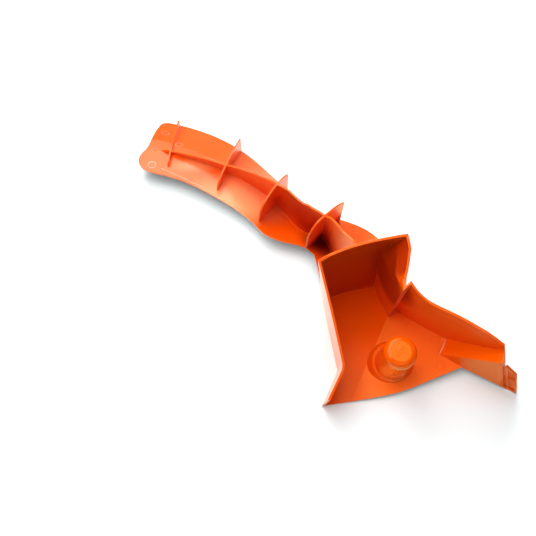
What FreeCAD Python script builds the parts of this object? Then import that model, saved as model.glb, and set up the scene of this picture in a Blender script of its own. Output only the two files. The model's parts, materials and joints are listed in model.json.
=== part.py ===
import FreeCAD, Part
import math
import os
from FreeCAD import Placement, Rotation, Vector

# Mulching plug of a walk-behind mower, one hollow orange moulding. Millimetres.
# The shape is drawn in the frame of the mould: +Z is the direction of pull, the
# knob's axis is near x = y = 0, the open front of the tray faces -Y and the arm
# runs off to -X, +Y. Last of all the part is laid down as it rests on the ground.

# Main sizes, all from the knob's axis
ARM_REACH_X = 354.0
ARM_REACH_Y = 424.0
WING_REACH = 144.0
TRAY_SIDE = 75.0
TRAY_BACK = 116.0
TRAY_FRONT = 53.0
RIM_HEIGHT = 100.0

# Wall, and how the moulding lies: the left half of the floor is level at rest
WALL = 3.0
REST_TILT = 17.5
FLOOR_DEPTH = 15.5

# Rims, below the level rim of the back wall
LEFT_KINK_DROP = 45.0
LEFT_FRONT_DROP = 52.0
FOLD_DROP = 9.0
WING_PEAK_DROP = 5.0
WING_RIM_DROP = 12.0
WING_TIP_DROP = 23.0
CREASE_DROP = 38.0
LIP_DROP = 14.0

# Wing, ramp and tab
NOTCH_LIFT = 11.2
RAMP_RISE = 85.0
WING_SKIRT = 7.0
TAB_WIDTH = 18.5
TAB_DEPTH = 3.2
TAB_POCKET_DEPTH = 2.2

# Knob, heights over the floor at its axis
KNOB_X = 3.0
KNOB_Y = 2.0
KNOB_HEIGHT = 82.0
KNOB_FOOT_R = 30.0
KNOB_STEP_R = 25.5
KNOB_STEP_HEIGHT = 12.0
KNOB_STEM_R = 21.0
KNOB_STEM_HEIGHT = 25.0
KNOB_NECK_R = 18.0
KNOB_CAP_R = 20.5
KNOB_CAP_HEIGHT = 12.5
KNOB_CAP_RIM = 3.5
KNOB_TOP_R = 12.0

# Arm: how far its near edge and fold stand over the ground, and its plates
ARM_EDGE_LIFT = 23.0
ARM_FOLD_LIFT = 26.0
ARM_FOOT_LIFT = 1.0
SPINE_HEIGHT = 86.0
SPINE_THICK = 2.6
RIB_THICK = 2.4


def plan(point, z=0.0):
    """Plan point given in per cent of the tray's main sizes."""
    x, y = point
    return Vector(x / 100 * (TRAY_SIDE if x < 0 else WING_REACH),
                  y / 100 * (TRAY_FRONT if y < 0 else TRAY_BACK), z)


def arm_plan(point, z=0.0):
    """Plan point given in per cent of the arm's reach."""
    return Vector(point[0] / 100 * ARM_REACH_X, point[1] / 100 * ARM_REACH_Y, z)


def ground_z(y, up=0.0):
    """Height of the upper face of the left floor, which is level at rest."""
    return up - FLOOR_DEPTH - math.tan(math.radians(REST_TILT)) * y


def plane_z(x, y, a, b, c):
    """Height over a plan point of the plane through a, b and c."""
    n = (b - a).cross(c - a)
    return a.z - ((x - a.x) * n.x + (y - a.y) * n.y) / n.z


def size():
    """A length larger than the part, for blocks that only cut."""
    return 3 * (ARM_REACH_X + WING_REACH)


def half_space(point, normal):
    """Large block on the side of the plane that the normal points to."""
    s = size()
    block = Part.makeBox(s, s, s, Vector(-s / 2, -s / 2, 0))
    block.Placement = Placement(point, Rotation(Vector(0, 0, 1), normal))
    return block


def upward(a, b, c):
    """Unit normal of the plane through three points, pointing up."""
    n = (b - a).cross(c - a)
    n.normalize()
    return n if n.z > 0 else n * -1


def above(points, drop=0.0):
    """Everything above the plane through three points, let down by drop."""
    n = upward(*points)
    return half_space(points[0] - n * drop, n)


def spline(points):
    curve = Part.BSplineCurve()
    curve.interpolate(points)
    return curve.toShape()


def lines(points):
    return [Part.makeLine(a, b) for a, b in zip(points, points[1:])]


def polygon(points):
    return Part.Face(Part.makePolygon(points + [points[0]]))


# Corners of the floor, the ramp and the wing in plan
def floor_points():
    """Front and back end of the fold in the floor, and the notch at its right."""
    front = plan((-69.3, -90.6))
    back = plan((4.2, 61.2))
    notch = plan((63.9, -7.5))
    return (Vector(front.x, front.y, ground_z(front.y)),
            Vector(back.x, back.y, ground_z(back.y)),
            Vector(notch.x, notch.y, ground_z(notch.y, NOTCH_LIFT)))


def left_floor():
    return [Vector(x, y, ground_z(y)) for x, y in ((0, 0), (WALL, 0), (0, WALL))]


def ramp_points():
    """Back and front end of the ramp's foot on the floor, and its top in front."""
    feet = [plan(p) for p in ((53.5, 31.9), (45.8, 12.9))]
    feet = [Vector(p.x, p.y, plane_z(p.x, p.y, *floor_points())) for p in feet]
    return feet[0], feet[1], plan((84.0, -24.2), feet[1].z + RAMP_RISE)


def wing_foot():
    p = plan((100.0, -56.6))
    return Vector(p.x, p.y, floor_points()[2].z - WING_SKIRT / 3)


def wing_base():
    """Plane of the wing's lower edge."""
    back = plan((84.7, 6.0))
    return floor_points()[2], wing_foot(), Vector(back.x, back.y, ground_z(back.y, WALL))


def wing_tip():
    return plan((85.4, 5.6), RIM_HEIGHT - WING_TIP_DROP + WALL)


def wing_directions():
    """Plan direction along the front of the wing, and the way out of it."""
    along = wing_foot() - floor_points()[2]
    along.z = 0
    along.normalize()
    return along, Vector(along.y, -along.x, 0)


# Plan stations of the inside of the walls at the low, crease, lip and high level,
# in per cent. They run from the front of the left wall, over the back wall and the
# folded right wall, to the end of the wing.
LEFT_WALL = (((-139.7, -162.3), (-128.7, -162.3), (-126.4, -162.3), (-124.8, -162.3)),
             ((-85.4, -9.4), (-85.6, -35.1), (-85.6, -38.7), (-85.5, -41.3)),
             ((-84.1, 0.6), (-84.5, -20.9), (-84.5, -24.5), (-84.6, -27.1)),
             ((-101.3, 81.9), (-118.7, 89.7), (-121.9, 90.5), (-124.1, 91.1)))
BACK_WALL = (((-69.3, 91.4), (-80, 98.3), (-82.5, 101.2), (-84.3, 103.2)),
             ((-40, 96.6), (-48, 105.2), (-44.2, 108.9), (-41.4, 111.5)),
             ((-10.7, 100), (-18.7, 112.9), (1.3, 116.2), (9.1, 118.6)))
RIGHT_WALL = (((-5.3, 86.2), (-10.7, 96.6), (0.5, 99.8), (13.7, 106.7)),
              ((0.7, 74.1), (-2.7, 80.2), (-2.5, 80.2), (14.4, 84.3)),
              ((4.2, 60.3), (3.5, 61.2), (3.5, 61.2), (3.5, 61.2)),
              ((11.8, 70.7), (10.4, 68.2), (10.1, 67.8), (9.9, 67.5)))
WING_WALL = (((27.8, 56), (22.9, 50.9), (22.2, 50.5), (21.8, 50.2)),
             ((47.2, 37.9), (45.8, 37.1), (43.8, 36.7), (42.4, 36.4)),
             ((72.2, 15.5), (72.2, 16.4), (71.5, 16.8), (71.1, 17.1)),
             ((104.2, -26.4), (97.9, -3.8), (95.6, -0.2), (94, 1.1)))


def offset_plan(points, distance):
    """Open plan line moved to its left by the distance, corners mitred."""
    moved = []
    for i, p in enumerate(points):
        d1 = p - points[i - 1] if i else points[1] - p
        d2 = points[i + 1] - p if i + 1 < len(points) else d1
        d1 = Vector(d1.x, d1.y, 0).normalize()
        d2 = Vector(d2.x, d2.y, 0).normalize()
        n = Vector(-d1.y - d2.y, d1.x + d2.x, 0).normalize()
        reach = distance / max(0.3, n.y * d1.x - n.x * d1.y)
        moved.append(p + n * reach)
    return moved


def low_z():
    """Level under the deepest corner of the floor."""
    return ground_z(TRAY_BACK) - 3 * WALL


def wall_loft(grow):
    """Closed block over the plan of the walls, moved outward by grow."""
    stations = LEFT_WALL + BACK_WALL + RIGHT_WALL + WING_WALL
    back_from = len(LEFT_WALL) - 1
    back_to = back_from + len(BACK_WALL)
    wing_from = back_to + len(RIGHT_WALL)
    wires = []
    levels = (low_z(), RIM_HEIGHT - CREASE_DROP, RIM_HEIGHT - LIP_DROP, RIM_HEIGHT + WALL)
    front = -TRAY_FRONT * 3
    for level, z in enumerate(levels):
        pts = offset_plan([plan(s[level], z) for s in stations], grow)
        edges = lines(pts[:back_from + 1])
        edges.append(spline(pts[back_from:back_to + 1]))
        edges += lines(pts[back_to:wing_from + 1])
        edges.append(spline(pts[wing_from:]))
        edges += lines([pts[-1], Vector(pts[-1].x, front, z), Vector(pts[0].x, front, z), pts[0]])
        wires.append(Part.Wire(edges))
    return Part.makeLoft(wires, True, True)


FRONT_EDGE = ((-121.3, -101.9), (-69.3, -90.6), (-20, -79.2), (5.6, -69.8), (29.9, -45.3),
              (48.6, -24.5))


def front_prism():
    """Plan prism behind the open front edge of the floor and the wing."""
    z = 2 * low_z()
    pts = [plan(p, z) for p in FRONT_EDGE]
    notch = floor_points()[2]
    notch = Vector(notch.x, notch.y, z)
    along = wing_directions()[0]
    s = size()
    ring = [notch, notch + along * s, Vector(s, s, z), Vector(-s, s, z), Vector(-s, pts[0].y, z), pts[0]]
    edges = lines(pts[:2]) + [spline(pts[1:])] + lines([pts[-1], notch]) + lines(ring)
    return Part.Face(Part.Wire(edges)).extrude(Vector(0, 0, s))


def wing_end():
    """Point and normal of the leaning end of the wing; the normal points inward."""
    a = ramp_points()[2]
    n = (wing_foot() - a).cross(wing_tip() - a).normalize()
    return a, n if n.x < 0 else n * -1


def ramp_kink():
    """Point of the ramp's front edge over the notch, where two faces meet below it."""
    foot, top = ramp_points()[1:]
    return foot + (top - foot) * 0.33


def ramp_cheek():
    """Point and inward normal of the small face from the ramp's foot to the notch."""
    foot = ramp_points()[1]
    n = (ramp_kink() - foot).cross(floor_points()[2] - foot).normalize()
    return foot, n if n.y > 0 else n * -1


def apron_front(inset):
    """Everything in front of the ruled face between the ramp's front edge and the
    wing's foot, the face moved inward by inset."""
    out = wing_directions()[1]
    low = [floor_points()[2], wing_foot()]
    high = [ramp_kink(), ramp_points()[2]]
    for row in (low, high):
        row[1] = row[1] + (row[1] - row[0]) * 0.5
    wires = []
    for a, b in zip(low, high):
        ring = [a * 2 - b, b * 2 - a]
        ring = [p - out * inset for p in ring] + [p + out * WING_REACH for p in reversed(ring)]
        wires.append(Part.makePolygon(ring + [ring[0]]))
    return Part.makeLoft(wires, True, True)


def rim_cutters():
    """Blocks taken off above the falling rims of the walls."""
    s = size()
    top = RIM_HEIGHT + s

    def wedge(points, x0, x1):
        """Slab from x0 to x1 over a rim line given as (y per cent, drop)."""
        line = [Vector(x0, plan((0, y)).y, RIM_HEIGHT - drop) for y, drop in points]
        line += [Vector(x0, line[-1].y, top), Vector(x0, line[0].y, top)]
        return polygon(line).extrude(Vector(x1 - x0, 0, 0))

    left = wedge(((96.6, 0), (-26.4, LEFT_KINK_DROP), (-102, LEFT_FRONT_DROP),
                  (-207, LEFT_FRONT_DROP + 3 * WALL)), -2 * TRAY_SIDE, -TRAY_SIDE / 2)
    right = wedge(((120.7, 0), (74, 0.78 * FOLD_DROP)), -TRAY_SIDE / 6, WING_REACH / 6)
    crest = ((2.9, FOLD_DROP), (9.8, WING_PEAK_DROP), (14, WING_PEAK_DROP + 1),
             (23, WING_RIM_DROP - 2), (43, WING_RIM_DROP), (71, WING_RIM_DROP + 2),
             (79, WING_RIM_DROP + 6), (85, WING_TIP_DROP), (118, WING_TIP_DROP + 4 * WALL))
    line = [Vector(plan((x, 0)).x, -TRAY_FRONT * 3, RIM_HEIGHT - drop) for x, drop in crest]
    line += [Vector(line[-1].x, line[0].y, top), Vector(line[0].x, line[0].y, top)]
    back = plan((0, 74)).y
    wing = polygon(line).extrude(Vector(0, back - line[0].y, 0))
    return [left, right, wing, half_space(Vector(0, 0, RIM_HEIGHT), Vector(0, 0, 1))]


def tray():
    """Walls and folded floor, with the ramp and the hollow wing at their right."""
    left = left_floor()
    right = floor_points()
    ramp = ramp_points()
    end_point, end_normal = wing_end()
    to_wing = Vector((ramp[0] - ramp[1]).y, -(ramp[0] - ramp[1]).x, 0).normalize()
    outer = wall_loft(WALL).common(front_prism()).common(half_space(end_point, end_normal))
    inner = wall_loft(0.0)
    floor = outer.common(above(left, WALL)).common(above(right, WALL))
    wing = outer.common(above(wing_base())).common(half_space(ramp[1], to_wing))
    body = floor.fuse(wing)
    cavity = inner.common(above(left)).common(above(right))
    cheek_point, cheek_normal = ramp_cheek()
    block = inner.cut(above(ramp)).common(half_space(ramp[1], to_wing)).cut(apron_front(0.0))
    block = block.common(half_space(cheek_point, cheek_normal))
    hollow = inner.cut(above(ramp, WALL)).cut(apron_front(WALL))
    hollow = hollow.common(half_space(ramp[1] + to_wing * WALL, to_wing))
    hollow = hollow.common(half_space(end_point + end_normal * WALL, end_normal))
    hollow = hollow.common(half_space(cheek_point + cheek_normal * WALL, cheek_normal))
    body = body.cut(apron_front(0.0))
    body = body.cut(cavity.cut(block)).cut(hollow)
    for cutter in rim_cutters():
        body = body.cut(cutter)
    return body.removeSplitter()


# Face of the tab: across it from the end of the wing, up it from the wing's foot,
# both in per cent
TAB_FACE = ((-30, 76), (4, 79), (25, 94), (92, 76), (95, 25), (91, -1), (-30, 0))
TAB_POCKETS = (((36, 84), (80, 73), (80, 52), (35, 48)),
               ((35, 43), (80, 39), (79, 4), (33, 8.5)),
               ((2, 120), (27, 120), (22, 7), (-7, 8)))


def tab():
    """Flange at the end of the wing with two pockets and a groove beside them."""
    along, out = wing_directions()
    notch = floor_points()[2]
    top = ramp_points()[2]
    foot = wing_foot()
    normal = (foot - notch).cross(top - notch)
    lean = (top - foot).dot(along) / (top.z - foot.z)

    def block(points, front, back):
        """Solid between two depths behind the face of the wing."""
        ring = []
        for across, up in points:
            rise = (top.z - foot.z) * up / 100
            side = (foot - notch).dot(along) + lean * rise + TAB_WIDTH * across / 100
            p = Vector(notch.x, notch.y, foot.z + rise) + along * side
            ring.append(p + out * ((foot - p).dot(normal) / out.dot(normal) - front))
        return polygon(ring).extrude(out * (front - back))

    body = block(TAB_FACE, 0.0, TAB_DEPTH)
    for pocket in TAB_POCKETS:
        body = body.cut(block(pocket, -WALL, TAB_POCKET_DEPTH))
    return body


def revolve(edges):
    """Solid turned about the knob's axis from a closed half section."""
    solid = Part.Face(Part.Wire(edges)).revolve(Vector(0, 0, 0), Vector(0, 0, 1), 360)
    solid.translate(Vector(KNOB_X, KNOB_Y, 0))
    return solid


def knob_floor():
    return plane_z(KNOB_X, KNOB_Y, *floor_points())


def knob_stem(inset=0.0):
    """Stepped foot and tapered stem, or its hollow when inset by the wall."""
    z = knob_floor()
    neck = z + KNOB_HEIGHT - KNOB_CAP_HEIGHT
    side = [(KNOB_FOOT_R, z - KNOB_STEP_HEIGHT), (KNOB_FOOT_R, z + WALL / 2),
            (KNOB_STEP_R, z + KNOB_STEP_HEIGHT), (KNOB_STEM_R + WALL / 2, z + KNOB_STEP_HEIGHT + WALL / 2),
            (KNOB_STEM_R, z + KNOB_STEM_HEIGHT), (KNOB_NECK_R, neck)]
    points = [Vector(r - inset, 0, h - (inset if i > 1 else 0)) for i, (r, h) in enumerate(side)]
    points = [Vector(0, 0, points[0].z)] + points + [Vector(0, 0, points[-1].z)]
    return revolve(lines(points + [points[0]]))


def knob_cap():
    """Round cap with a short straight rim and a shoulder arc to a flat top."""
    top = knob_floor() + KNOB_HEIGHT
    low = top - KNOB_CAP_HEIGHT
    rim = low + KNOB_CAP_RIM
    r = KNOB_CAP_R
    chamfer = WALL / 4
    way = math.radians(50)
    bulge = Vector(KNOB_TOP_R + (r - KNOB_TOP_R) * math.sin(way), 0, rim + (top - rim) * math.cos(way))
    points = [Vector(KNOB_TOP_R, 0, top), Vector(0, 0, top), Vector(0, 0, low),
              Vector(r - chamfer, 0, low), Vector(r, 0, low + chamfer), Vector(r, 0, rim)]
    shoulder = Part.Arc(points[-1], bulge, points[0]).toShape()
    return revolve(lines(points) + [shoulder])


# Arm stations from the tip to the tray in per cent of its reach: near edge, foot
# of the spine, fold and far edge of the sheet. Then how far near edge, foot and
# fold stand over the ground, in per cent of ARM_EDGE_LIFT and ARM_FOLD_LIFT, and
# the height of the spine there and how far its top leans to the far side, in per
# cent of its height.
ARM_PLAN = (((-102.3, 75.9), (-98.9, 85.4), (-98, 88.8), (-95.5, 103.8)),
            ((-87.3, 71.5), (-86.4, 81.4), (-85.9, 86), (-84.5, 98.6)),
            ((-66.7, 61.8), (-61.9, 73.1), (-61.0, 75.2), (-55.4, 87.3)),
            ((-49.7, 49.3), (-40.4, 61.6), (-39.6, 62.9), (-35.3, 68.4)),
            ((-45.7, 47.2), (-36.7, 57.5), (-35.9, 58.8), (-30.9, 65.4)),
            ((-37.8, 43.2), (-29.6, 49.8), (-28.8, 50.9), (-22.2, 59.5)),
            ((-29.4, 40.6), (-22.3, 46.7), (-21.3, 47.7), (-14.1, 54)),
            ((-25.1, 35.4), (-17.2, 37.7), (-15.0, 38.8), (1.1, 45.8)),
            ((-24, 29.7), (-14.7, 32.1), (-12.6, 32.7), (2.5, 36.8)),
            ((-23.2, 22.6), (-13, 25), (-11.0, 25.5), (2.8, 28.3)))
ARM_LIFT = ((112, 100, 98), (100, 100, 98), (100, 97, 90), (100, 8, 7), (100, 8, 7),
            (100, 9, 7), (100, 14, 10), (92, 14, 8), (52, 10, 6), (9, 8, 8))
SPINE_RISE = (-2, 9, 26, 81, 87, 94, 100, 136, 166, 186)
SPINE_LEAN = (0, 0, 0, 0, 5, 9, 0, 0, 0, 0)

# Stations and tops of the four plates across the arm: how far from the near edge
# (0) over the spine's foot (1) to the far edge (2), and height over the sheet in
# per cent of the spine's height.
RIB_STATIONS = (1, 2, 3, 6)
RIB_TOPS = (((0.34, 0), (0.5, 8), (1, 10), (1.5, 18), (2, 22)),
            ((0.27, 0), (0.36, 14), (0.57, 22), (1, 26), (1.47, 41), (2, 46)),
            ((0.2, 0), (0.23, 30), (0.3, 43), (0.65, 70), (1, 81), (1.5, 76), (2, 61)),
            ((0.04, 0), (0.07, 42), (0.26, 71), (0.57, 92), (1, 102), (1.38, 100), (2, 84)))

ARM_NEAR = ((-22.3, 23.6), (-25.8, 38.4), (-29.1, 40.9), (-33.8, 42.3), (-37.8, 43.1),
            (-41.8, 44.4), (-45.8, 46.4), (-49.3, 50.1), (-54, 54.3), (-65, 61.3),
            (-80.8, 69.1), (-93.8, 72.6))
ARM_TIP = ((-97.8, 74.2), (-100, 77.6), (-97.7, 83), (-95.8, 87.3), (-94.9, 92.2), (-93.6, 96.6),
           (-92.2, 99), (-89.6, 99.7))
ARM_FAR = ((-85.6, 99.1), (-69.5, 93.6), (-52, 82.5), (-35.9, 67.7), (-21.8, 57.5),
           (-6.2, 51.7), (2.3, 45.3))
ARM_ROOT = (1.7, 25.5)


def arm_rows():
    """Upper rows of the sheet: near edge, foot of the spine, fold and far edge."""
    rows = [[], [], [], []]
    for station, lifts in zip(ARM_PLAN, ARM_LIFT):
        ups = [ARM_EDGE_LIFT * lifts[0] / 100, ARM_FOLD_LIFT * lifts[1] / 100,
               ARM_FOLD_LIFT * lifts[2] / 100, ARM_FOOT_LIFT]
        for row, point, up in zip(rows, station, ups):
            p = arm_plan(point)
            row.append(Vector(p.x, p.y, ground_z(p.y, up)))
    return rows


def arm_sheet():
    """Folded sheet of the arm, ruled between curves through the stations."""
    near, foot, fold, far = arm_rows()
    out_near = [n + (n - f) * 0.3 for n, f in zip(near, foot)]
    out_far = [n + (n - f) * 0.2 for n, f in zip(far, fold)]
    rows = [out_near, foot, fold, out_far]
    rows += [[p - Vector(0, 0, WALL) for p in row] for row in reversed(rows)]
    curves = [spline(row) for row in rows]
    faces = [Part.makeRuledSurface(a, b) for a, b in zip(curves, curves[1:] + curves[:1])]
    for end in (0, -1):
        ring = [row[end] for row in rows]
        for i in range(3):
            faces.append(polygon([ring[i], ring[i + 1], ring[6 - i], ring[7 - i]]))
    shell = Part.Shell(faces)
    shell.sewShape()
    sheet = Part.Solid(shell)
    if sheet.Volume < 0:
        sheet.reverse()
    return sheet


def arm_outline():
    """Plan prism of the arm: near edge, round the tip and back along the far edge."""
    z = 2 * ground_z(ARM_REACH_Y)
    near, tip, far = [[arm_plan(p, z) for p in row] for row in (ARM_NEAR, ARM_TIP, ARM_FAR)]
    edges = lines(near[:3]) + [spline(near[2:])] + lines([near[-1], tip[0]])
    edges += [spline(tip[:3]), spline(tip[2:6]), spline(tip[5:])] + lines([tip[-1], far[0]])
    edges += [spline(far)] + lines([far[-1], arm_plan(ARM_ROOT, z), near[0]])
    return Part.Face(Part.Wire(edges)).extrude(Vector(0, 0, size()))


def spine():
    """Gusset that runs along the middle of the arm up to the back wall."""
    foot = arm_rows()[1]
    edge = spline(foot)
    knots = [edge.Curve.parameter(p) for p in foot]
    wires = []
    for i, step in [(i, k / 4) for i in range(len(foot) - 1) for k in range(4)] + [(len(foot) - 2, 1)]:
        t = knots[i] + (knots[i + 1] - knots[i]) * step
        d = edge.tangentAt(t)
        across = Vector(-d.y, d.x, 0).normalize()
        rise, lean = [SPINE_HEIGHT / 100 * (row[i] + (row[i + 1] - row[i]) * step)
                      for row in (SPINE_RISE, SPINE_LEAN)]
        side = across * (SPINE_THICK / 2)
        low = edge.valueAt(t) - Vector(0, 0, 0.7 * WALL)
        high = edge.valueAt(t) + Vector(0, 0, rise) + across * lean
        ring = [low - side, low + side, high + side, high - side]
        wires.append(Part.makePolygon(ring + [ring[0]]))
    body = Part.makeLoft(wires, True, True)
    start = foot[0] + (foot[1] - foot[0]) * 0.68
    return body.common(half_space(start, Vector(1, 0, -1.4)))


def rib(index, tops):
    """Plate across the arm at a station, with its arched top."""
    near, foot, far = [arm_rows()[k][index] for k in (0, 1, 3)]
    fold = arm_rows()[2][index]
    across = Vector(far.x - near.x, far.y - near.y, 0).normalize()
    side = Vector(-across.y, across.x, 0)
    foot = foot - side * (foot - near).dot(side)
    fold = fold - side * (fold - near).dot(side)
    low = Vector(0, 0, -WALL / 2)

    def on_sheet(t):
        return near + (foot - near) * t if t < 1 else foot + (far - foot) * (t - 1)

    start = on_sheet(tops[0][0])
    end_base = far - (far - fold) * 0.03
    crest = []
    for t, height in tops[1:]:
        p = on_sheet(t) if t < 2 else end_base
        crest.append(p + Vector(0, 0, SPINE_HEIGHT * height / 100))
    ring = [crest[-1], end_base + low, fold + low, foot + low, start + low, start, crest[0]]
    face = Part.Face(Part.Wire([spline(crest)] + lines(ring)))
    face.translate(side * (-RIB_THICK / 2))
    return face.extrude(side * RIB_THICK)


def arm():
    """Sheet, spine and plates, trimmed to the outline and to the tray's outside."""
    body = arm_sheet()
    for plate in [spine()] + [rib(*pair) for pair in zip(RIB_STATIONS, RIB_TOPS)]:
        body = body.fuse(plate)
    body = body.common(arm_outline()).cut(wall_loft(WALL / 3))
    return body.cut(half_space(Vector(0, 0, RIM_HEIGHT - WALL / 3), Vector(0, 0, 1)))


def plug():
    """The whole moulding as it rests, with its box centred over the origin."""
    stem = knob_stem().common(above(left_floor(), WALL)).common(above(floor_points(), WALL))
    body = tray().fuse(tab()).fuse(stem).fuse(knob_cap()).fuse(arm())
    body = body.cut(knob_stem(WALL))
    body.rotate(Vector(0, 0, 0), Vector(1, 0, 0), REST_TILT)
    box = body.optimalBoundingBox(False, False)
    body.translate(Vector(-box.Center.x, -box.Center.y, -box.ZMin))
    return body


if __name__ == "__main__":
    os.makedirs("parts", exist_ok=True)
    plug().exportStep("parts/mulching_plug.step")
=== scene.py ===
import json
import math

import bpy
import numpy as np
from bpy.props import FloatProperty, FloatVectorProperty, PointerProperty, StringProperty
from bpy.types import Operator, Panel, PropertyGroup
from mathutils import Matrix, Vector
from mathutils.bvhtree import BVHTree


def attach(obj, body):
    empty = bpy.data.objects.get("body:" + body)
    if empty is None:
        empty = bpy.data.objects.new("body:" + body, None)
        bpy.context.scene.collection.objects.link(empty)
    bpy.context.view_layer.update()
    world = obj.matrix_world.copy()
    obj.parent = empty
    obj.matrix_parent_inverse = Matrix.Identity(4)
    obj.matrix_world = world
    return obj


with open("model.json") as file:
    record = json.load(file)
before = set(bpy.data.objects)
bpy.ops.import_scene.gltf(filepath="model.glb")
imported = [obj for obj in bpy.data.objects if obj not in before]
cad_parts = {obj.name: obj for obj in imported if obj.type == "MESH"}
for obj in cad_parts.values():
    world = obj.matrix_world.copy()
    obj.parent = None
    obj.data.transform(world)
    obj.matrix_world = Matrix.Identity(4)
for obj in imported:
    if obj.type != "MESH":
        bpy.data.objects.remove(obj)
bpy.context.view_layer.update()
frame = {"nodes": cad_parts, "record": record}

bl_info = {
    "name": "Mower mulching plug",
    "version": (1, 0, 0),
    "blender": (4, 5, 0),
    "location": "View3D > Sidebar > Plug",
    "description": "Dresses the moulded mulching plug and sets its stage",
    "category": "Object",
}

PLUG = frame["nodes"]["mulching_plug"]
MM = 0.001
DOWN = Vector((0, 0, -1))

# Patches of painted light, painted shade and painted sheen on the moulding: lighter faces and painted
# highlights where light falls, painted shade in the tray's walls, its bays and beside the spine, and more or
# less gloss. Each has its name, the centre and half sizes of an egg shape in millimetres, the share of it
# that has the full tone, the way the face looks, how far it may turn from that (1 - cosine), the sRGB hex
# colour, and how much of the gloss stays.
PAINTED_LIGHT_AND_SHADE = (
    ("right_of_the_fold", (140, -175, 8), (110, 110, 40), 0.7, (-0.09, 0.04, 1), 0.0018, "#FF7022", 1.0),
    ("ramp", (205, -190, 50), (80, 80, 80), 0.7, (-0.64, 0.31, 0.70), 0.03, "#FF6402", 1.0),
    ("back_wall", (45, -95, 80), (110, 110, 110), 0.6, (0.30, -0.93, -0.20), 0.06, "#B43000", 0.6),
    ("right_wall", (92, -100, 95), (62, 62, 62), 0.6, (-0.93, -0.30, -0.05), 0.30, "#B42C00", 0.5),
    ("right_wall_flare", (103, -106, 138), (36, 36, 36), 0.6, (-0.72, -0.25, 0.64), 0.30, "#A82800", 0.6),
    ("bay_by_the_tray", (16, 4, 6), (42, 42, 42), 0.1, (0.6, -0.2, 0.7), 2.0, "#6A0A00", 0.5),
    ("side_of_the_spine", (0, 22, 45), (80, 80, 80), 0.2, (-0.68, -0.70, -0.22), 0.2, "#B82000", 0.6),
    ("right_side_of_the_spine", (45, 36, 22), (40, 40, 26), 0.3, (0.72, -0.66, -0.21), 0.2, "#C82C04", 0.3),
    ("far_side_of_the_arm_root", (62, 34, 5), (55, 45, 30), 0.3, (0.02, 0.03, 1), 0.1, "#EA4606", 0.3),
    ("near_side_of_the_arm", (-100, 82, 20), (110, 62, 40), 0.2, (0.12, 0.05, 1), 0.05, "#F48E5C", 1.0),
    ("foot_of_the_spine", (-166, 142, 28), (52, 18, 20), 0.2, (0, -0.1, 1), 0.05, "#F07844", 1.0),
    ("end_of_the_ramp", (229, -226, 62), (20, 30, 40), 0.7, (0.84, -0.50, 0.19), 0.2, "#F06010", 0.2),
    ("tab", (240, -224, 38), (9.5, 20, 45), 0.85, (-0.44, -0.87, -0.21), 0.2, "#EC5A18", 0.45),
    ("ramp_foot", (167.3, -161.4, 11), (14, 14, 3), 0.9, (-0.75, 0.35, 0.55), 0.2, "#FFA070", 1.0),
    ("knob_top", (99.8, -210.2, 84.1), (13, 13, 13), 0.85, (0, -0.30, 0.954), 0.1, "#FA6A10", 0.3),
    ("knob_stem", (96, -212, 35), (34, 34, 50), 0.8, (0, -0.95, -0.1), 0.6, "#F25C08", 2.2),
)

# Ejector pins, on the tray's floor and on the arm: the height that is clear over the plastic, how far
# the mark stands up, and where each pin met the plastic, in plan, all in millimetres.
PINS = (
    (14, 0.05, ((126.7, -120.2), (160.5, -151.7), (162.8, -191.4),
                (42.6, -123.6), (52.4, -174.9), (31.0, -225.5))),
    (50, 0.02, ((-236.2, 144.3), (-177.4, 143.6), (-116.9, 116.4), (-222.9, 219.8), (-197.7, 186.6))),
)

# The point over the sprue stub, the radii of the turned rings on the knob and the two ends of the
# ramp's foot, all in millimetres, and the way that the fillet there faces.
SPRUE = (-233.9, 175.6, 50)
KNOB_RINGS = (2.2, 4.6, 7.0)
RAMP_FOOT = ((174.0, -150.4, 10.9), (162.4, -173.0, 10.8))
RAMP_FOOT_FACING = (-0.45, 0.2, 0.87)

# Thin lines on the arm: how many points each has, and places near the plastic that it runs by, in
# millimetres.
LINE_POINTS = 80
WITNESS_LINES = (
    ((-222.0, 136.8, 31), (-215.6, 133.9, 31), (-160.9, 102.6, 25), (-100.5, 67.5, 17), (-63.5, 30.1, 8)),
    ((-119.5, 118.6, 25.1), (-99.9, 109.0, 20.1), (-80.2, 96.3, 14.2), (-72.0, 90.0, 12.5)),
    ((-44.3, 68.5, 8.0), (-32.6, 53.4, 7.8), (-22.6, 38.2, 8.1), (-12.7, 24.7, 10.0)),
)

# Soft boxes of the light tent, aimed at the origin: name, place and size in metres, power in watts.
SOFT_BOXES = (
    ("mirrored_by_the_arm", (-0.18, 1.05, 1.25), (1.4, 0.5), 17.0),
    ("low_behind", (0.4, 1.5, 1.0), (0.8, 0.5), 9.5),
    ("behind_left", (-0.55, 0.45, 1.4), (0.8, 0.8), 7.0),
    ("left", (-0.75, -0.3, 1.4), (1.2, 0.9), 12.0),
    ("front", (0.25, -1.1, 0.8), (1.2, 0.6), 2.4),
    ("overhead", (0.05, -0.1, 1.7), (1.2, 1.2), 12.0),
)


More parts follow.
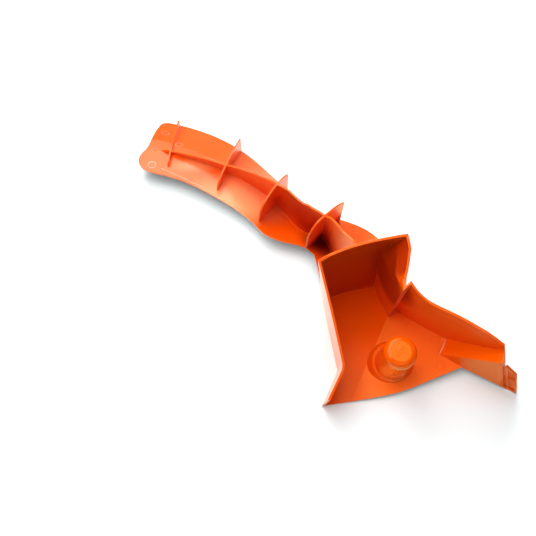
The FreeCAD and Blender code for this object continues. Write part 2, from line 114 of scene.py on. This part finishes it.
class PlugFinish(PropertyGroup):
    colour: StringProperty(
        name="Colour", default="#F55800", description="Body colour of the polypropylene, sRGB hex")
    deep_colour: StringProperty(
        name="Deep colour", default="#F05000", description="Colour where the melt lies thick, sRGB hex")
    # Painted highlight: the lighter colour laid along the rounded edges.
    edge_highlight_colour: StringProperty(
        name="Edge colour", default="#FF8A3C", description="Colour of the thin rounded edges, sRGB hex")
    tray_sheen: StringProperty(
        name="Tray sheen", default="#FFF7AD", description="Tint of the gloss on the tray, sRGB hex")
    arm_sheen: StringProperty(
        name="Arm sheen", default="#FFFDE7", description="Tint of the gloss on the arm, sRGB hex")
    low_sheen: StringProperty(
        name="Low sheen", default="#FFF1E5", description="Tint of the gloss seen at a low angle, sRGB hex")
    under_colour: StringProperty(
        name="Under colour", default="#8C8C8C",
        description="Colour that the underside throws on the floor, sRGB hex")
    roughness: FloatProperty(
        name="Roughness", default=0.3, min=0.05, max=1.0, description="Satin of the mould's face")
    knob_roughness: FloatProperty(
        name="Knob roughness", default=0.1, min=0.05, max=1.0, description="Polish of the knob's cavity")
    edge_round: FloatProperty(
        name="Edge rounding", default=0.9, min=0.0, max=3.0,
        description="Radius of the moulded edges, in millimetres")
    mark_round: FloatProperty(
        name="Mark rounding", default=0.1, min=0.0, max=1.0,
        description="Radius of the edges of the mould's marks, in millimetres")
    grain: FloatProperty(
        name="Grain", default=0.6, min=0.1, max=5.0,
        description="Width of the mould's grain, in millimetres")
    flow: FloatProperty(
        name="Flow", default=45.0, min=5.0, max=500.0,
        description="Width of the clouds that the melt leaves in the colour, in millimetres")


class MarkSizes(PropertyGroup):
    pin_radius: FloatProperty(
        name="Pin radius", default=5.8, min=2.0, max=12.0, description="Of the ejector pins, in millimetres")
    pin_ring_width: FloatProperty(
        name="Pin ring width", default=0.9, min=0.2, max=3.0, description="In millimetres")
    knob_ring_width: FloatProperty(
        name="Knob ring width", default=1.1, min=0.2, max=3.0, description="In millimetres")
    knob_ring_height: FloatProperty(
        name="Knob ring height", default=0.22, min=0.02, max=1.0, description="In millimetres")
    sprue_radius: FloatProperty(
        name="Sprue radius", default=0.8, min=0.3, max=4.0, description="In millimetres")
    sprue_height: FloatProperty(
        name="Sprue height", default=0.9, min=0.1, max=4.0, description="In millimetres")
    line_width: FloatProperty(
        name="Line width", default=0.7, min=0.2, max=3.0,
        description="Of the lines on the arm, in millimetres")
    line_height: FloatProperty(
        name="Line height", default=0.08, min=0.02, max=1.0, description="In millimetres")
    fillet_width: FloatProperty(
        name="Fillet width", default=1.8, min=0.5, max=5.0, description="At the ramp's foot, in millimetres")
    fillet_height: FloatProperty(
        name="Fillet height", default=0.35, min=0.1, max=2.0, description="In millimetres")


class StageSet(PropertyGroup):
    floor_colour: StringProperty(
        name="Floor", default="#E5ECEC", description="Colour of the floor, sRGB hex")
    floor_glow: FloatProperty(
        name="Floor glow", default=0.1, min=0.0, max=1.0,
        description="Light that the camera sees added to the floor")
    sky: FloatProperty(
        name="Sky", default=0.05, min=0.0, max=3.0, description="Light from all round")
    light: FloatProperty(
        name="Light", default=1.0, min=0.0, max=5.0, description="Share of each soft box's own power")
    camera: FloatVectorProperty(
        name="Camera", default=(-0.0592, -0.6411, 0.8735), unit="LENGTH", size=3,
        description="Camera position over the floor, in metres")
    look_down: FloatProperty(
        name="Look down", default=math.radians(55.0), unit="ROTATION",
        description="How far the camera looks below the horizon")
    lens: FloatProperty(name="Lens", default=50.37, description="Focal length on a 36 mm sensor")


def linear(hex_colour):
    """sRGB hex colour as linear RGBA: ((c + 0.055) / 1.055) ** 2.4, or c / 12.92 when dark."""
    c = np.array([int(hex_colour[i:i + 2], 16) for i in (1, 3, 5)]) / 255.0
    lin = np.where(c > 0.04045, ((c + 0.055) / 1.055) ** 2.4, c / 12.92)
    return (*lin.tolist(), 1.0)


def add(tree, kind, settings=None, inputs=None):
    """One shader node with its settings and its inputs, which are values or sockets."""
    node = tree.nodes.new(kind)
    for name, value in (settings or {}).items():
        setattr(node, name, value)
    for name, value in (inputs or {}).items():
        if isinstance(value, bpy.types.NodeSocket):
            tree.links.new(value, node.inputs[name])
        else:
            node.inputs[name].default_value = value
    return node


def new_material(name):
    """An empty material and its node tree."""
    mat = bpy.data.materials.new(name)
    mat.use_nodes = True
    mat.node_tree.nodes.clear()
    return mat, mat.node_tree


def knob_top():
    """Centre of the knob's flat top and the direction that it faces, from the record."""
    mount = next(m for m in frame["record"]["mounts"] if m["name"] == "knob_top")
    axis = np.array(mount["axis"])
    return np.array(mount["pos_m"]), axis / np.linalg.norm(axis)


def with_painted_light_and_shade(tree, place, facing, colour):
    """The colour and the gloss after every patch of painted light, painted shade and painted sheen. A patch
    counts fully where the length of (place - centre) / half sizes is under its full share, and where the face
    looks its way."""
    gloss = 1.0
    for _, centre, half, full, toward, spread, hex_colour, kept in PAINTED_LIGHT_AND_SHADE:
        away = add(tree, "ShaderNodeVectorMath", {"operation": "SUBTRACT"},
                   {0: place, 1: Vector(centre) * MM})
        scaled = add(tree, "ShaderNodeVectorMath", {"operation": "DIVIDE"},
                     {0: away.outputs["Vector"], 1: Vector(half) * MM})
        reach = add(tree, "ShaderNodeVectorMath", {"operation": "LENGTH"}, {0: scaled.outputs["Vector"]})
        near = add(tree, "ShaderNodeMapRange", {"interpolation_type": "SMOOTHSTEP"},
                   {"Value": reach.outputs["Value"], "From Min": 1.0, "From Max": full})
        turned = add(tree, "ShaderNodeVectorMath", {"operation": "DOT_PRODUCT"},
                     {0: facing, 1: Vector(toward).normalized()})
        flat = add(tree, "ShaderNodeMapRange", {"interpolation_type": "SMOOTHSTEP"},
                   {"Value": turned.outputs["Value"], "From Min": 1 - spread, "From Max": 1 - 0.5 * spread})
        share = add(tree, "ShaderNodeMath", {"operation": "MULTIPLY"},
                    {0: near.outputs["Result"], 1: flat.outputs["Result"]}).outputs["Value"]
        colour = add(tree, "ShaderNodeMix", {"data_type": "RGBA"},
                     {"A": colour, "B": linear(hex_colour), "Factor": share}).outputs["Result"]
        gloss = add(tree, "ShaderNodeMix", {"data_type": "FLOAT"},
                    {"A": gloss, "B": kept, "Factor": share}).outputs["Result"]
    return colour, gloss


def with_painted_edge_highlight(tree, facing, rounded, colour, edge_highlight_colour):
    """The colour, turned lighter where the rounded normal leaves the face's own: a painted highlight
    along the rounded edges."""
    at_edge = add(tree, "ShaderNodeVectorMath", {"operation": "DOT_PRODUCT"}, {0: facing, 1: rounded})
    edge = add(tree, "ShaderNodeMapRange", None,
               {"Value": at_edge.outputs["Value"], "From Min": 0.995, "From Max": 0.85,
                "To Min": 0.0, "To Max": 0.6})
    return add(tree, "ShaderNodeMix", {"data_type": "RGBA"},
               {"A": colour, "B": linear(edge_highlight_colour), "Factor": edge.outputs["Result"]}).outputs["Result"]


def neutral_below(tree, facing, colour, under_colour):
    """The colour, grey on faces that look down when light bounces off them, so that the
    shadow on the floor stays grey."""
    path = add(tree, "ShaderNodeLightPath")
    turned = add(tree, "ShaderNodeSeparateXYZ", None, {"Vector": facing})
    under = add(tree, "ShaderNodeMapRange", None,
                {"Value": turned.outputs["Z"], "From Min": -0.4, "From Max": -0.6})
    onto_floor = add(tree, "ShaderNodeMath", {"operation": "MULTIPLY"},
                     {0: under.outputs["Result"], 1: path.outputs["Is Diffuse Ray"]})
    return add(tree, "ShaderNodeMix", {"data_type": "RGBA"},
               {"A": colour, "B": linear(under_colour), "Factor": onto_floor.outputs["Value"]}
               ).outputs["Result"]


def gloss_layer(tree, finish, place, graze, normal):
    """The gloss over the body: its tint shifts from the tray to the arm and towards low
    angles, and it is sharper on the polished knob."""
    pale = add(tree, "ShaderNodeMapRange", None, {"Value": graze, "From Min": 0.12, "From Max": 0.6})
    along = add(tree, "ShaderNodeSeparateXYZ", None, {"Vector": place})
    on_arm = add(tree, "ShaderNodeMapRange", None,
                 {"Value": along.outputs["X"], "From Min": 20 * MM, "From Max": -20 * MM})
    warm = add(tree, "ShaderNodeMix", {"data_type": "RGBA"},
               {"A": linear(finish.tray_sheen), "B": linear(finish.arm_sheen),
                "Factor": on_arm.outputs["Result"]})
    tint = add(tree, "ShaderNodeMix", {"data_type": "RGBA"},
               {"A": warm.outputs["Result"], "B": linear(finish.low_sheen), "Factor": pale.outputs["Result"]})
    from_knob = add(tree, "ShaderNodeVectorMath", {"operation": "DISTANCE"},
                    {0: place, 1: Vector(knob_top()[0])})
    polish = add(tree, "ShaderNodeMapRange", None,
                 {"Value": from_knob.outputs["Value"], "From Min": 45 * MM, "From Max": 60 * MM,
                  "To Min": finish.knob_roughness, "To Max": finish.roughness})
    return add(tree, "ShaderNodeBsdfGlossy", None,
               {"Color": tint.outputs["Result"], "Roughness": polish.outputs["Result"], "Normal": normal})


def orange_plastic(name, finish, rounding):
    """Injection moulded polypropylene, satin: the mould's fine grain breaks the
    reflections, the body scatters a little light and edges are rounded by the radius
    given in millimetres. Over it lie patches of painted light, painted shade and painted
    sheen, and a painted highlight along the rounded edges."""
    mat, tree = new_material(name)
    place = add(tree, "ShaderNodeTexCoord").outputs["Object"]
    facing = add(tree, "ShaderNodeNewGeometry").outputs["True Normal"]
    flow = add(tree, "ShaderNodeTexNoise", None,
               {"Vector": place, "Scale": 1 / (finish.flow * MM), "Detail": 3.0, "Roughness": 0.5})
    tone = add(tree, "ShaderNodeMix", {"data_type": "RGBA"},
               {"A": linear(finish.deep_colour), "B": linear(finish.colour), "Factor": flow.outputs["Fac"]})
    # Patches of painted light, painted shade and painted sheen over the body colour.
    colour, gloss = with_painted_light_and_shade(tree, place, facing, tone.outputs["Result"])

    grain = add(tree, "ShaderNodeTexNoise", None,
                {"Vector": place, "Scale": 1 / (finish.grain * MM), "Detail": 2.0})
    round_edge = add(tree, "ShaderNodeBevel", {"samples": 8}, {"Radius": rounding * MM})
    bump = add(tree, "ShaderNodeBump", None,
               {"Height": grain.outputs["Fac"], "Strength": 0.05, "Distance": 0.1 * MM,
                "Normal": round_edge.outputs["Normal"]})
    normal = bump.outputs["Normal"]
    # Painted highlight: lighter colour along the rounded edges.
    colour = with_painted_edge_highlight(tree, facing, round_edge.outputs["Normal"], colour, finish.edge_highlight_colour)
    colour = neutral_below(tree, facing, colour, finish.under_colour)

    body = add(tree, "ShaderNodeBsdfPrincipled", None,
               {"Base Color": colour, "Roughness": 0.5, "Specular IOR Level": 0.0,
                "Subsurface Weight": 0.08, "Subsurface Radius": (1.0, 0.25, 0.05),
                "Subsurface Scale": 2.5 * MM, "Normal": normal})
    graze = add(tree, "ShaderNodeFresnel", None, {"IOR": 1.42, "Normal": normal}).outputs["Fac"]
    sheen = gloss_layer(tree, finish, place, graze, normal)
    shine = add(tree, "ShaderNodeMath", {"operation": "MULTIPLY"}, {0: graze, 1: gloss})
    skin = add(tree, "ShaderNodeMixShader", None,
               {0: shine.outputs["Value"], 1: body.outputs["BSDF"], 2: sheen.outputs["BSDF"]})
    out = add(tree, "ShaderNodeOutputMaterial")
    tree.links.new(skin.outputs[0], out.inputs["Surface"])
    return mat


def marks_material(context):
    """The same plastic with sharper edges, made once, for the thin marks of the mould."""
    name = "orange_polypropylene_marks"
    finish = context.scene.plug_finish
    return bpy.data.materials.get(name) or orange_plastic(name, finish, finish.mark_round)


def floor_material(colour, glow):
    """Seamless white paper: it shows white where nothing shades it."""
    mat, tree = new_material("white_paper")
    path = add(tree, "ShaderNodeLightPath")
    seen = add(tree, "ShaderNodeMath", {"operation": "MAXIMUM"},
               {0: path.outputs["Is Camera Ray"], 1: path.outputs["Is Glossy Ray"]})
    seen = add(tree, "ShaderNodeMath", {"operation": "MAXIMUM"},
               {0: seen.outputs[0], 1: path.outputs["Is Transmission Ray"]})
    paper = add(tree, "ShaderNodeBsdfDiffuse", None, {"Color": linear(colour)})
    white = add(tree, "ShaderNodeEmission", None, {"Color": (1, 1, 1, 1), "Strength": glow})
    both = add(tree, "ShaderNodeAddShader", None, {0: paper.outputs[0], 1: white.outputs[0]})
    mix = add(tree, "ShaderNodeMixShader", None,
              {0: seen.outputs[0], 1: paper.outputs[0], 2: both.outputs[0]})
    out = add(tree, "ShaderNodeOutputMaterial")
    tree.links.new(mix.outputs[0], out.inputs["Surface"])
    return mat


def surface_of(node):
    """The node's faces as a tree that rays can be cast on, in the row frame."""
    mesh = node.data
    corners = np.empty(len(mesh.vertices) * 3)
    mesh.vertices.foreach_get("co", corners)
    turn = np.array(node.matrix_world)
    corners = corners.reshape(-1, 3) @ turn[:3, :3].T + turn[:3, 3]
    return BVHTree.FromPolygons(corners.tolist(), [tuple(face.vertices) for face in mesh.polygons])


def drop(tree, spot):
    """Where a plumb line from the point, in millimetres, meets the surface below, and its normal."""
    place, normal, _, _ = tree.ray_cast(Vector(spot) * MM, DOWN)
    return np.array(place), np.array(normal)


def laid_on(tree, points):
    """The points moved to the nearest place on the surface, with the normals found there."""
    found = [tree.find_nearest(Vector(point)) for point in points]
    return np.array([place for place, _, _, _ in found]), np.array([normal for _, normal, _, _ in found])


def circle(centre, normal, radius, count=48):
    """Circle of count points, centre + radius * (cos(u) * e1 + sin(u) * e2), e1 and e2 across the normal."""
    e1 = np.cross(normal, (0.0, 1.0, 0.3))
    e1 /= np.linalg.norm(e1)
    e2 = np.cross(normal, e1)
    u = np.linspace(0.0, 2 * math.pi, count, endpoint=False)[:, None]
    return np.asarray(centre) + radius * (np.cos(u) * e1 + np.sin(u) * e2)


def bead(path, normals, width, height, closed):
    """A thin low bead along a path of n points. Across it, with side = tangent x normal, it is a parabola:
    P(i, u) = path(i) + width / 2 * u * side(i) + height * (1 - u * u) * normal(i), u from 1 to -1."""
    ahead = np.roll(path, -1, axis=0) - np.roll(path, 1, axis=0)
    if not closed:
        ahead[0] = path[1] - path[0]
        ahead[-1] = path[-1] - path[-2]
    side = np.cross(ahead, normals)
    side /= np.linalg.norm(side, axis=1, keepdims=True)
    u = np.linspace(1.0, -1.0, 7)[None, :, None]
    points = path[:, None] + width / 2 * u * side[:, None] + height * (1 - u * u) * normals[:, None]
    n, m = points.shape[:2]
    rows = np.arange(n if closed else n - 1)
    cell = (rows[:, None] * m + np.arange(m - 1)).ravel()
    above = (((rows + 1) % n)[:, None] * m + np.arange(m - 1)).ravel()
    return points.reshape(-1, 3), np.stack([cell, cell + 1, above + 1, above], axis=1)


def add_piece(name, parts, mat):
    """One smooth mesh of several beads, riding on the plug."""
    points = np.concatenate([p for p, _ in parts])
    starts = np.cumsum([0] + [len(p) for p, _ in parts[:-1]])
    faces = np.concatenate([f + start for (_, f), start in zip(parts, starts)])
    mesh = bpy.data.meshes.new(name)
    mesh.from_pydata(points.tolist(), [], faces.tolist())
    mesh.polygons.foreach_set("use_smooth", np.ones(len(faces), dtype=bool))
    mesh.materials.append(mat)
    mesh.update()
    obj = bpy.data.objects.new(name, mesh)
    bpy.context.scene.collection.objects.link(obj)
    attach(obj, "root")
    return obj


def soft_box(name, place, size, power):
    """A rectangular area lamp that is aimed at the origin."""
    lamp = bpy.data.lights.new(name, "AREA")
    lamp.shape = "RECTANGLE"
    lamp.size, lamp.size_y = size
    lamp.energy = power
    obj = bpy.data.objects.new(name, lamp)
    obj.location = place
    obj.rotation_euler = (-Vector(place)).to_track_quat("-Z", "Y").to_euler()
    bpy.context.scene.collection.objects.link(obj)


class PLUG_OT_finish(Operator):
    """Gives the moulding its satin orange polypropylene, with painted light, shade, sheen and edge highlights
    """
    bl_idname = "plug.finish"
    bl_label = "Finish the moulding"

    def execute(self, context):
        finish = context.scene.plug_finish
        mat = orange_plastic("moulded_orange_polypropylene", finish, finish.edge_round)
        PLUG.data.materials.clear()
        PLUG.data.materials.append(mat)
        return {"FINISHED"}


class PLUG_OT_pin_rings(Operator):
    """Adds the rings that the ejector pins leave on the floor and the arm"""
    bl_idname = "plug.pin_rings"
    bl_label = "Add the pin rings"

    def execute(self, context):
        sizes = context.scene.plug_marks
        tree = surface_of(PLUG)
        rings = []
        for clear, height, spots in PINS:
            for spot in spots:
                place, normal = drop(tree, (*spot, clear))
                path, _ = laid_on(tree, circle(place, normal, sizes.pin_radius * MM))
                up = np.tile(normal, (len(path), 1))
                rings.append(bead(path, up, sizes.pin_ring_width * MM, height * MM, True))
        add_piece("ejector_pin_rings", rings, marks_material(context))
        return {"FINISHED"}


class PLUG_OT_knob_rings(Operator):
    """Adds the turned rings on the knob's flat top"""
    bl_idname = "plug.knob_rings"
    bl_label = "Add the knob's rings"

    def execute(self, context):
        sizes = context.scene.plug_marks
        centre, axis = knob_top()
        rings = []
        for radius in KNOB_RINGS:
            path = circle(centre, axis, radius * MM)
            up = np.tile(axis, (len(path), 1))
            rings.append(bead(path, up, sizes.knob_ring_width * MM, sizes.knob_ring_height * MM, True))
        add_piece("knob_turning_rings", rings, marks_material(context))
        return {"FINISHED"}


class PLUG_OT_sprue(Operator):
    """Adds the stub of the sprue near the arm's tip"""
    bl_idname = "plug.sprue"
    bl_label = "Add the sprue stub"

    def execute(self, context):
        sizes = context.scene.plug_marks
        tree = surface_of(PLUG)
        place, normal = drop(tree, SPRUE)
        radius = sizes.sprue_radius * MM
        path, normals = laid_on(tree, circle(place, normal, radius, 24))
        stub = bead(path, normals, 2 * radius, sizes.sprue_height * MM, True)
        add_piece("sprue_stub", [stub], marks_material(context))
        return {"FINISHED"}


class PLUG_OT_arm_lines(Operator):
    """Adds the thin lines along the arm"""
    bl_idname = "plug.arm_lines"
    bl_label = "Add the arm's lines"

    def execute(self, context):
        sizes = context.scene.plug_marks
        tree = surface_of(PLUG)
        lines = []
        for spots in WITNESS_LINES:
            knots = np.array(spots) * MM
            along = np.linspace(0.0, len(knots) - 1.0, LINE_POINTS)
            line = np.stack([np.interp(along, np.arange(len(knots)), row) for row in knots.T], axis=1)
            path, normals = laid_on(tree, line)
            lines.append(bead(path, normals, sizes.line_width * MM, sizes.line_height * MM, False))
        add_piece("arm_witness_lines", lines, marks_material(context))
        return {"FINISHED"}


class PLUG_OT_ramp_fillet(Operator):
    """Adds the small fillet at the foot of the ramp"""
    bl_idname = "plug.ramp_fillet"
    bl_label = "Add the ramp's fillet"

    def execute(self, context):
        sizes = context.scene.plug_marks
        path = np.linspace(*np.array(RAMP_FOOT) * MM, 24)
        up = np.tile(Vector(RAMP_FOOT_FACING).normalized(), (len(path), 1))
        fillet = bead(path, up, sizes.fillet_width * MM, sizes.fillet_height * MM, False)
        add_piece("ramp_foot_fillet", [fillet], marks_material(context))
        return {"FINISHED"}


class PLUG_OT_stage(Operator):
    """Lays the floor and sets the lights and the camera"""
    bl_idname = "plug.stage"
    bl_label = "Set the stage"

    def execute(self, context):
        stage = context.scene.plug_stage
        scene = context.scene
        mesh = bpy.data.meshes.new("floor")
        half = 6.0
        mesh.from_pydata([(-half, -half, 0), (half, -half, 0), (half, half, 0), (-half, half, 0)],
                         [], [(0, 1, 2, 3)])
        floor = bpy.data.objects.new("floor", mesh)
        mesh.materials.append(floor_material(stage.floor_colour, stage.floor_glow))
        scene.collection.objects.link(floor)

        world = bpy.data.worlds.new("studio")
        scene.world = world
        world.use_nodes = True
        tree = world.node_tree
        tree.nodes.clear()
        sky = add(tree, "ShaderNodeBackground", None, {"Color": (1, 1, 1, 1), "Strength": stage.sky})
        out = add(tree, "ShaderNodeOutputWorld")
        tree.links.new(sky.outputs[0], out.inputs["Surface"])
        for name, place, size, watts in SOFT_BOXES:
            soft_box(name, place, size, watts * stage.light)

        lens = bpy.data.cameras.new("camera")
        lens.lens = stage.lens
        lens.sensor_width = 36.0
        lens.sensor_fit = "HORIZONTAL"
        lens.clip_end = 30.0
        camera = bpy.data.objects.new("camera", lens)
        camera.location = stage.camera
        camera.rotation_euler = (math.pi / 2 - stage.look_down, 0, 0)
        scene.collection.objects.link(camera)
        scene.camera = camera
        scene.view_settings.view_transform = "Standard"
        return {"FINISHED"}


class PLUG_PT_panel(Panel):
    """Lists the sizes, the colours and the stages of the plug's dressing"""
    bl_idname = "PLUG_PT_panel"
    bl_label = "Mulching plug"
    bl_space_type = "VIEW_3D"
    bl_region_type = "UI"
    bl_category = "Plug"

    def draw(self, context):
        scene = context.scene
        for group in (scene.plug_finish, scene.plug_marks, scene.plug_stage):
            for name in group.__annotations__:
                self.layout.prop(group, name)
        for operator in OPERATORS:
            self.layout.operator(operator.bl_idname)


OPERATORS = (PLUG_OT_finish, PLUG_OT_pin_rings, PLUG_OT_knob_rings, PLUG_OT_sprue, PLUG_OT_arm_lines,
             PLUG_OT_ramp_fillet, PLUG_OT_stage)
CLASSES = (PlugFinish, MarkSizes, StageSet, *OPERATORS, PLUG_PT_panel)


def register():
    for cls in CLASSES:
        bpy.utils.register_class(cls)
    bpy.types.Scene.plug_finish = PointerProperty(type=PlugFinish)
    bpy.types.Scene.plug_marks = PointerProperty(type=MarkSizes)
    bpy.types.Scene.plug_stage = PointerProperty(type=StageSet)


def unregister():
    del bpy.types.Scene.plug_stage
    del bpy.types.Scene.plug_marks
    del bpy.types.Scene.plug_finish
    for cls in reversed(CLASSES):
        bpy.utils.unregister_class(cls)


def main():
    register()
    bpy.ops.plug.finish()
    bpy.ops.plug.pin_rings()
    bpy.ops.plug.knob_rings()
    bpy.ops.plug.sprue()
    bpy.ops.plug.arm_lines()
    bpy.ops.plug.ramp_fillet()
    bpy.ops.plug.stage()


if __name__ == "__main__":
    main()
